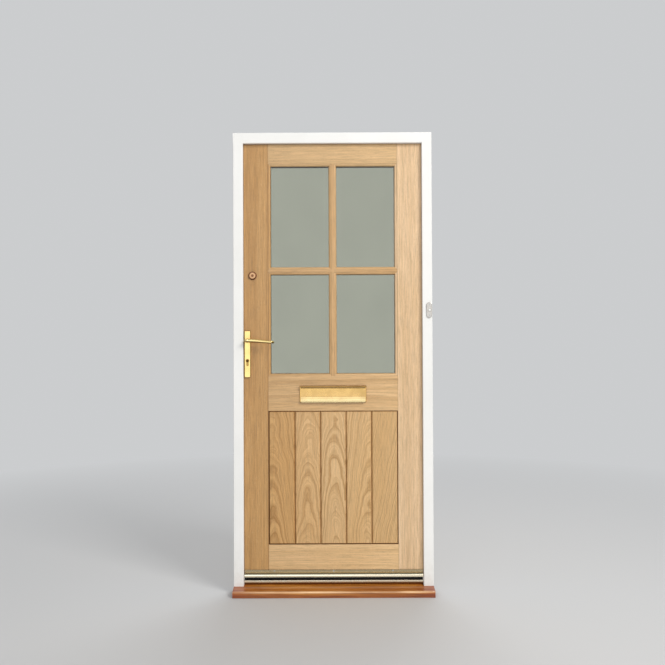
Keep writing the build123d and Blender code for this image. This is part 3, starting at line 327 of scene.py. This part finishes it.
def whitePaint():
    made, tree, shader, place = newMaterial("white_paint")
    patches = noise(tree, place, *paint["patches"])
    brushed = drawnOut(tree, place, *paint["brushed"])
    grains = drawnOut(tree, place, *paint["grains"])
    foot = spread(tree, axis(tree, place, "Z"), paint["footSpan"])
    dirt = times(tree, foot, spread(tree, noise(tree, place, *paint["dirt"]), paint["dirtSpan"]))
    shut = hollows(tree, paint["reach"], paint["hollowShadeSpan"])
    edgeWearAndSheen = arrises(tree, paint["arris"], paint["arrisSpan"])
    dim = spread(tree, patches, paint["patchSpan"])
    colour = cover(tree, shade(paint["tone"]), dim, shade(paint["dim"]))
    colour = cover(tree, colour, times(tree, dirt, paint["dirtShare"]), shade(paint["dirtTone"]))
    # painted shade in grooves and inner corners
    colour = cover(tree, colour, times(tree, shut, paint["hollowShadeShare"]), shade(paint["hollowShadeTone"]))
    colour = cover(tree, colour, times(tree, edgeWearAndSheen, paint["arrisShare"]), shade(paint["arrisTone"]))
    raised = times(tree, brushed, paint["brushHeight"])
    height = calc(tree, "ADD", raised, times(tree, grains, paint["grainHeight"]))
    rough = spread(tree, brushed, paint["roughSpan"], paint["rough"])
    finish(tree, shader, colour, rough, height, paint["depth"], paint["relief"])
    return made


# Varnished hardwood of the sill: redder at its ends and under its nose, with a painted highlight along the
# nose

sill = {
    "stripes": (0.04, 0.011, 3.0, 0.6), "fibres": (0.025, 0.0022, 4.0, 0.65),
    "patches": (0.3, 0.07, 3.0, 0.55),
    "stripeTones": ((0.30, (132, 66, 16)), (0.5, (184, 112, 36)), (0.72, (212, 144, 58))),
    "fibreTones": ((0.3, 0.62), (0.55, 1.0), (0.8, 1.2)), "fibreShare": 0.7,
    "patchTones": ((0.35, (0.82, 0.72, 0.66)), (0.6, 1.0)), "patchShare": 0.7,
    "endSpan": (0.36, 0.46), "endTone": (146, 54, 26), "endShare": 0.6,
    "noseUp": (0.0195, 0.0225), "noseOut": (-0.0440, -0.0500),
    "noseEnds": (0.34, 0.45), "noseLeft": (1.0, 0.3),  # what is left of the painted highlight at the sill's ends
    "sheenSpan": (0.36, 0.6), "wearAndSheen": (0.35, 0.95), "sheenTone": (246, 206, 158),
    "belowSpan": (0.0165, 0.010), "belowTone": (186, 140, 132), "belowShare": 0.55,
    "roughSpan": (0.3, 0.7), "rough": (0.30, 0.5), "coat": 0.7, "coatRough": 0.16,
    "depth": 0.0003, "relief": 0.5,
}


def sillWood():
    made, tree, shader, place = newMaterial("hardwood_sill")
    turned = mapped(tree, place, turn=levelGrain)
    fibres = drawnOut(tree, turned, *sill["fibres"])
    stripes = drawnOut(tree, turned, *sill["stripes"])
    patches = drawnOut(tree, turned, *sill["patches"])
    fromMiddle = calc(tree, "ABSOLUTE", axis(tree, place, "X"))
    up = axis(tree, place, "Z")
    colour = ramp(tree, stripes, [(level, shade(tone)) for level, tone in sill["stripeTones"]])
    colour = tint(tree, colour, sill["fibreShare"], ramp(tree, fibres, sill["fibreTones"]))
    colour = tint(tree, colour, sill["patchShare"], ramp(tree, patches, sill["patchTones"]))
    ends = spread(tree, fromMiddle, sill["endSpan"], (0, sill["endShare"]))
    colour = cover(tree, colour, ends, shade(sill["endTone"]))
    # painted highlight along the rounded nose, broken into patches
    nose = spread(tree, axis(tree, place, "Y"), sill["noseOut"])
    nose = times(tree, spread(tree, up, sill["noseUp"]), nose)
    nose = times(tree, nose, spread(tree, fromMiddle, sill["noseEnds"], sill["noseLeft"]))
    wearAndSheen = times(tree, nose, spread(tree, patches, sill["sheenSpan"], sill["wearAndSheen"]))
    colour = cover(tree, colour, wearAndSheen, shade(sill["sheenTone"]))
    below = spread(tree, up, sill["belowSpan"], (0, sill["belowShare"]))
    colour = tint(tree, colour, below, shade(sill["belowTone"]))
    rough = spread(tree, patches, sill["roughSpan"], sill["rough"])
    finish(tree, shader, colour, rough, fibres, sill["depth"], sill["relief"])
    coat(shader, sill["coat"], sill["coatRough"])
    return made


# Metals: brushed names the axis along which the finish runs, and None is a polished surface

metalwork = {
    "drawn": {"x": (0.02, 1, 1), "z": (1, 1, 0.02), None: (1, 1, 1)},
    "brushLines": (0.0009, 3.0, 0.6), "polishWaves": (0.004, 3.0, 0.6),
    "smears": (0.05, 3.0, 0.5), "smearSpan": (0.42, 0.75),
    "specks": (0.0022, 3.0, 0.6), "speckSpan": (0.62, 0.8),
    "dull": (0.82, 0.76, 0.66), "bright": (1.12, 1.1, 1.05), "brightest": (250, 245, 255),
    # painted shade in hollows and creases
    "reach": 0.008, "hollowShadeSpan": (0.85, 0.35), "hollowShade": (0.30, 0.24, 0.15, 1),
    "arris": 0.0008, "arrisSpan": (0.97, 0.5),
    # painted shade on faces that look down
    "downShadeSpan": (-0.1, -0.7), "downShadeTone": (130, 98, 66),
    "roughSpan": (0.3, 0.75), "rough": (0.75, 1.45),
    "brushDepth": 0.00005, "polishDepth": 0.00002, "relief": 0.4,
}


def metal(name, tone, rough, brushed=None, age=0.25, wearAndSheen=0.3, deep=None, bright=None, hollowShade=0.35,
          lightBands=None, downShade=0.0):
    made, tree, shader, place = newMaterial(name)
    lineNoise = metalwork["brushLines" if brushed else "polishWaves"]
    lines = noise(tree, mapped(tree, place, scale=metalwork["drawn"][brushed]), *lineNoise)
    smears = noise(tree, place, *metalwork["smears"])
    specks = spread(tree, noise(tree, place, *metalwork["specks"]), metalwork["speckSpan"])
    dull = shade(deep or scaled(tone, metalwork["dull"]))
    rubbed = bright or map(min, scaled(tone, metalwork["bright"]), metalwork["brightest"])
    colour = cover(tree, shade(tone), spread(tree, smears, metalwork["smearSpan"], (0, age)), dull)
    colour = cover(tree, colour, times(tree, specks, age), dull)
    # painted shade in hollows and creases, such as keyways and the crease over the deflector's nose
    cornerShade = times(tree, hollows(tree, metalwork["reach"], metalwork["hollowShadeSpan"]), hollowShade)
    colour = tint(tree, colour, cornerShade, metalwork["hollowShade"])
    edgeWearAndSheen = times(tree, arrises(tree, metalwork["arris"], metalwork["arrisSpan"]), wearAndSheen)
    colour = cover(tree, colour, edgeWearAndSheen, shade(rubbed))
    if downShade:
        # painted shade: faces that look down are darkened, as they are in shade
        facing = axis(tree, add(tree, "TexCoord").outputs["Normal"], "Z")
        share = spread(tree, facing, metalwork["downShadeSpan"], (0, downShade))
        colour = tint(tree, colour, share, shade(metalwork["downShadeTone"]))
    if lightBands:
        # painted shade and painted highlight in bands by height: shade in creases and under edges,
        # highlights along lips and noses
        bottom, top = lightBands[0][0], lightBands[-1][0]
        marks = [((z - bottom) / (top - bottom), shade(band)) for z, band in lightBands]
        height = spread(tree, axis(tree, place, "Z"), (bottom, top))
        colour = tint(tree, colour, 1.0, ramp(tree, height, marks))
    shader.inputs["Metallic"].default_value = 1.0
    roughEnds = [rough * share for share in metalwork["rough"]]
    roughness = spread(tree, smears, metalwork["roughSpan"], roughEnds)
    depth = metalwork["brushDepth" if brushed else "polishDepth"]
    finish(tree, shader, colour, roughness, lines, depth, metalwork["relief"])
    return made


slotMetals = {
    "gold_aluminium": dict(tone=(246, 236, 210), rough=0.26, brushed="x", age=0.12, deep=(206, 190, 152),
                           hollowShade=0.3),
    "polished_brass": dict(tone=(240, 208, 136), rough=0.20, age=0.22, downShade=0.8),
    "plain_brass": dict(tone=(222, 190, 122), rough=0.3, age=0.35),
    "brassed_case": dict(tone=(216, 180, 112), rough=0.38, brushed="z", age=0.3),
    "dark_bronze": dict(tone=(186, 134, 98), rough=0.36, age=0.6, deep=(112, 72, 46), wearAndSheen=0.5,
                        bright=(214, 160, 120)),
    "steel": dict(tone=(196, 196, 194), rough=0.36, brushed="z", age=0.3),
    "satin_chrome": dict(tone=(206, 207, 208), rough=0.3, brushed="z", age=0.15),
    "spacer_aluminium": dict(tone=(190, 190, 190), rough=0.4, brushed="z", age=0.1),
}

# Pieces whose metal differs from that of their slot. A light band is a height and the tint it gives the
# metal there: painted highlights on the letter flap's lip, painted shade on the letter plate's hood and
# foot, a painted shadow with a painted reflection of the sill at the threshold bar's foot, and painted
# shade on the deflector's flange and in its crease.
ownMetals = {
    "outer_flap": dict(
        name="flap_brass", tone=(236, 214, 160), rough=0.26, age=0.15, hollowShade=0.25,
        lightBands=((0.8660, (250, 250, 252)), (0.8740, (255, 255, 255)), (0.8790, (236, 230, 226)),
               (0.8830, (232, 224, 214)), (0.8870, (250, 240, 232)), (0.8905, (234, 214, 190)),
               (0.9260, (232, 212, 180)), (0.9300, (214, 196, 176)))),
    "letter_outer_frame": dict(
        name="letter_brass", tone=(226, 190, 122), rough=0.24, age=0.3,
        lightBands=((0.8636, (150, 136, 120)), (0.8700, (255, 250, 245)), (0.9280, (250, 245, 240)),
               (0.9335, (176, 164, 156)))),
    "threshold_bar": dict(
        name="threshold_aluminium", tone=(246, 236, 214), rough=0.26, brushed="x", age=0.15, hollowShade=0.3,
        lightBands=((0.0380, (96, 44, 20)), (0.0455, (124, 88, 60)), (0.0490, (206, 190, 170)),
               (0.0520, (255, 255, 255)))),
    "rain_deflector": dict(
        name="deflector_aluminium", tone=(246, 236, 210), rough=0.24, brushed="x", age=0.12, hollowShade=0.12,
        lightBands=((0.0740, (255, 255, 255)), (0.0868, (255, 255, 255)), (0.0885, (140, 140, 130)),
               (0.0915, (140, 140, 130)), (0.0935, (206, 200, 190)), (0.1010, (200, 190, 172)),
               (0.1080, (214, 200, 180)))),
    "outer_lever": dict(name="lever_brass", tone=(250, 226, 158), rough=0.2, age=0.2, downShade=1.0),
    "inner_lever": dict(name="inner_lever_brass", tone=(250, 226, 158), rough=0.2, age=0.2, downShade=1.0),
    "rim_plug": dict(name="copper_face", tone=(150, 108, 78), rough=0.42, age=0.5, deep=(104, 68, 46)),
    "rim_cylinder_body": dict(name="copper_barrel", tone=(206, 166, 126), rough=0.36, age=0.5,
                              deep=(150, 104, 74)),
    "rim_cylinder_ring": dict(name="copper_ring", tone=(128, 86, 60), rough=0.4, age=0.5, deep=(84, 52, 34),
                              bright=(206, 160, 122), wearAndSheen=0.7),
    "bell_push_plate": dict(name="push_plate", tone=(214, 210, 204), rough=0.28, brushed="z", age=0.2),
    "cylinder_body": dict(name="cylinder_brass", tone=(196, 162, 96), rough=0.4, age=0.4,
                          deep=(136, 104, 56), hollowShade=0.6),
    "cylinder_plug": dict(name="plug_brass", tone=(96, 72, 34), rough=0.5, age=0.5, deep=(52, 38, 20),
                          hollowShade=0.9),
}


# Plastic and rubber

moulded = {
    "fine": (3.0, 0.55), "broadness": 14, "dark": (0.86, 0.86, 0.86),
    "broadSpan": (0.4, 0.75), "broadShare": 2, "fineSpan": (0.5, 0.8),
    "roughSpan": (0.3, 0.7), "rough": (0.85, 1.15), "relief": 0.5,
}


def plain(name, tone, rough, grain, depth, spots, dark=None):
    made, tree, shader, place = newMaterial(name)
    fine = noise(tree, place, grain, *moulded["fine"])
    broad = noise(tree, place, grain * moulded["broadness"], *moulded["fine"])
    other = shade(dark or scaled(tone, moulded["dark"]))
    clouds = spread(tree, broad, moulded["broadSpan"], (0, spots * moulded["broadShare"]))
    colour = cover(tree, shade(tone), clouds, other)
    colour = cover(tree, colour, spread(tree, fine, moulded["fineSpan"], (0, spots)), other)
    roughness = spread(tree, fine, moulded["roughSpan"], [rough * share for share in moulded["rough"]])
    finish(tree, shader, colour, roughness, fine, depth, moulded["relief"])
    return made


slotPlains = {
    "white_plastic": dict(tone=(240, 240, 237), rough=0.3, grain=0.0015, depth=0.00003, spots=0.08),
    "black_rubber": dict(tone=(34, 33, 32), rough=0.72, grain=0.0012, depth=0.0001, spots=0.3,
                         dark=(62, 60, 56)),
}


# Clear glass of the sealed units, a little green, with a faint film

panes = {
    "tone": (222, 224, 213), "filmed": (0.97, 0.97, 0.97), "index": 1.45,
    "film": (0.6, 0.09, 4.0, 0.6), "filmSpan": (0.4, 0.8), "filmShare": 0.5,
    "roughSpan": (0.6, 0.9), "rough": (0.0, 0.03),
    "waves": (0.35, 1.0, 0.55), "depth": 0.0003, "relief": 0.1,
}


def clearGlass():
    made, tree, shader, place = newMaterial("clear_glass")
    film = drawnOut(tree, place, *panes["film"])
    cloud = spread(tree, film, panes["filmSpan"], (0, panes["filmShare"]))
    colour = cover(tree, shade(panes["tone"]), cloud, shade(scaled(panes["tone"], panes["filmed"])))
    shader.inputs["Transmission Weight"].default_value = 1.0
    shader.inputs["IOR"].default_value = panes["index"]
    rough = spread(tree, film, panes["roughSpan"], panes["rough"])
    waves = noise(tree, place, *panes["waves"])
    finish(tree, shader, colour, rough, waves, panes["depth"], panes["relief"])
    return made


# Each slot of each piece gets the piece's own material, or else the one of its slot

slotMaterials = {"hardwood": sillWood(), "white_painted_timber": whitePaint(), "clear_glass": clearGlass()}
for name, settings in slotMetals.items():
    slotMaterials[name] = metal(name, **settings)
for name, settings in slotPlains.items():
    slotMaterials[name] = plain(name, **settings)
for piece, settings in ownMetals.items():
    ownMaterials[piece] = metal(**settings)
print("paint, sill, metals, plastics and glass made")


def dress(name, thing):
    thing.select_set(False)
    for slot in thing.material_slots:
        old = slot.material.name.split(".")[0] if slot.material else ""
        made = ownMaterials.get(name) or slotMaterials.get(old)
        if made:
            slot.material = made
        else:
            print("no material for", name, old)


for name, thing in nodes.items():
    dress(name, thing)
print("materials given to", len(nodes), "nodes")


# Stage and world: a plain pale grey, which glass and metal show too

studio = {
    "backdrop": (0.60, 0.61, 0.62, 1), "floor": (0.56, 0.565, 0.57, 1), "floorRough": 0.8,
    "size": 160, "drop": 0.0006,  # the floor lies a hair under the sill
    "fadeSpan": (1.3, 4.5), "fill": 0.52,  # where the floor turns into the backdrop, and the world's light
}


def seenRays(tree):
    # 1 for rays that look at the background straight, mirrored or through glass
    path = add(tree, "LightPath").outputs
    seen = calc(tree, "MAXIMUM", path["Is Camera Ray"], path["Is Glossy Ray"])
    return calc(tree, "MAXIMUM", seen, path["Is Transmission Ray"])


def mixInto(tree, output, share, first, second):
    mixed = add(tree, "MixShader", {0: share, 1: first.outputs[0], 2: second.outputs[0]})
    feed(tree, tree.nodes[output].inputs["Surface"], mixed.outputs[0])


def stage():
    bpy.ops.mesh.primitive_plane_add(size=studio["size"], location=(0, 0, -studio["drop"]))
    floor = bpy.context.object
    floor.name = "studio_floor"
    made, tree, shader, place = newMaterial("studio_floor")
    shader.inputs["Base Color"].default_value = studio["floor"]
    shader.inputs["Roughness"].default_value = studio["floorRough"]
    glow = add(tree, "Emission", {"Color": studio["backdrop"], "Strength": 1.0})
    away = add(tree, "VectorMath", {0: place}, operation="LENGTH").outputs["Value"]
    share = times(tree, seenRays(tree), spread(tree, away, studio["fadeSpan"]))
    mixInto(tree, "Material Output", share, shader, glow)
    floor.data.materials.append(made)


def backdrop():
    world = bpy.data.worlds.new("studio")
    scene.world = world
    world.use_nodes = True
    tree = world.node_tree
    fill = tree.nodes["Background"]
    fill.inputs["Color"].default_value = (1.0, 1.0, 1.0, 1)
    fill.inputs["Strength"].default_value = studio["fill"]
    pale = add(tree, "Background", {"Color": studio["backdrop"], "Strength": 1.0})
    mixInto(tree, "World Output", seenRays(tree), fill, pale)


lamps = {
    "key": dict(place=(3.6, -4.2, 4.6), size=2.4, power=250, tone=(1.0, 0.97, 0.93)),
    "front": dict(place=(-0.8, -5.0, 1.9), size=3.6, power=40, tone=(0.99, 0.99, 1.0)),
    "back": dict(place=(0.4, 2.0, 4.4), size=1.8, power=60, tone=(1.0, 1.0, 1.0)),
}
lampAim = Vector((0, 0, 1.05))  # the middle of the door


def light(name, place, size, power, tone):
    made = bpy.data.lights.new(name, "AREA")
    made.size = size
    made.energy = power
    made.color = tone
    lamp = bpy.data.objects.new(name, made)
    scene.collection.objects.link(lamp)
    lamp.visible_transmission = False  # no bright square behind the panes
    lamp.location = place
    lamp.rotation_mode = "QUATERNION"
    lamp.rotation_quaternion = (lampAim - Vector(place)).to_track_quat("-Z", "Y")


# Camera at the photograph's own viewpoint: turns in degrees, focal length and width in its pixels
view = {
    "place": (0.0017, -3.5044, 1.1347), "yaw": 0.055, "pitch": 0.76, "roll": -0.229,
    "focal": 772.5, "width": 665, "sensor": 36.0,
}


def camera():
    made = bpy.data.cameras.new("camera")
    made.sensor_width = view["sensor"]
    made.lens = view["focal"] * view["sensor"] / view["width"]
    seen = bpy.data.objects.new("camera", made)
    scene.collection.objects.link(seen)
    turn = Matrix.Rotation(math.radians(view["yaw"]), 4, "Z")
    turn @= Matrix.Rotation(math.radians(90 + view["pitch"]), 4, "X")
    turn @= Matrix.Rotation(math.radians(view["roll"]), 4, "Z")
    seen.matrix_world = Matrix.Translation(view["place"]) @ turn
    scene.camera = seen


stage()
backdrop()
for name, settings in lamps.items():
    light(name, **settings)
camera()
scene.view_settings.view_transform = "Standard"
print("stage, lamps and camera set")
